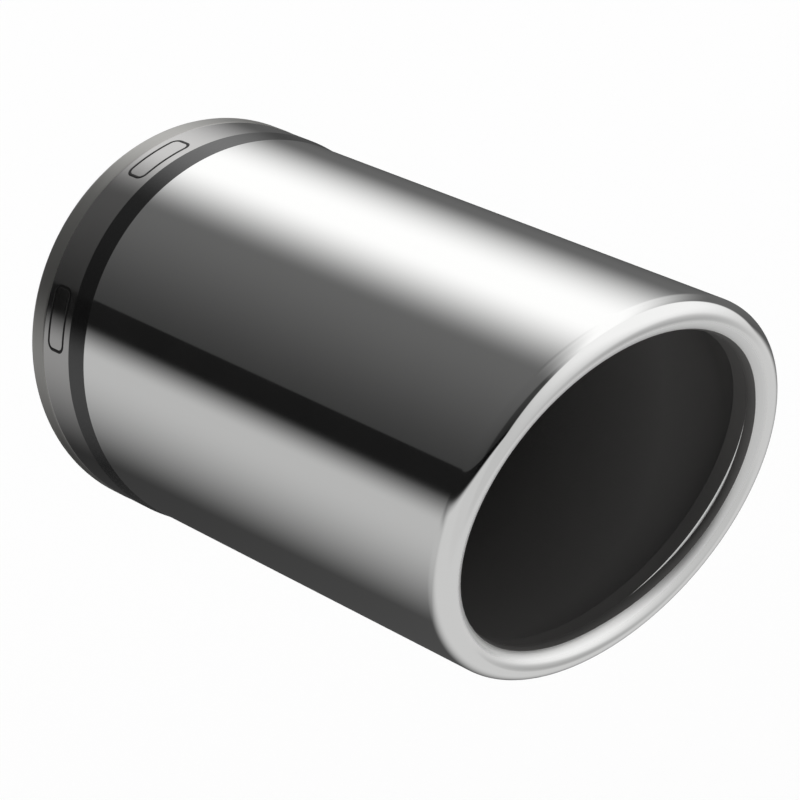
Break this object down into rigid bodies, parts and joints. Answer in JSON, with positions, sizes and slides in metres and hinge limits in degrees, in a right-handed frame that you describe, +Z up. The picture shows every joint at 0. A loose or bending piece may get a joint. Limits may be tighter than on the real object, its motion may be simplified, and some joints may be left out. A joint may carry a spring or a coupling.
{
  "type": "exhaust tip",
  "caption": "Slant-cut round exhaust tip: a mirror-polished steel tube with a rolled lip and a raised rear collar, on a slotted inlet sleeve with a band clamp.",
  "frame": {"origin": "centre of the inlet sleeve's open rear end, on the axis of the tube", "axes": "the tube's axis lies along Y; the mouth faces -Y and the tailpipe enters from +Y; +Z is up, on the long side of the slanted mouth"},
  "size_m": [0.1014, 0.2084, 0.1014],
  "materials": {
    "mirror_stainless": "mirror polished stainless steel, coated black inside",
    "black_coated_steel": "matt black heat-resistant coating",
    "tube_steel": "plain drawn stainless tube",
    "weld_steel": "weld bead, heat tinted",
    "clamp_stainless": "rolled stainless strip",
    "zinc_plated_steel": "bright zinc plating"
  },
  "bodies": {
    "root": {"body_shell": "mirror_stainless", "end_cap": "black_coated_steel", "cap_weld": "weld_steel", "inlet_sleeve": "tube_steel", "clamp_band": "clamp_stainless", "clamp_bolt": "zinc_plated_steel", "clamp_nut": "zinc_plated_steel", "head_washer": "zinc_plated_steel", "nut_washer": "zinc_plated_steel"}
  },
  "joints": []
}
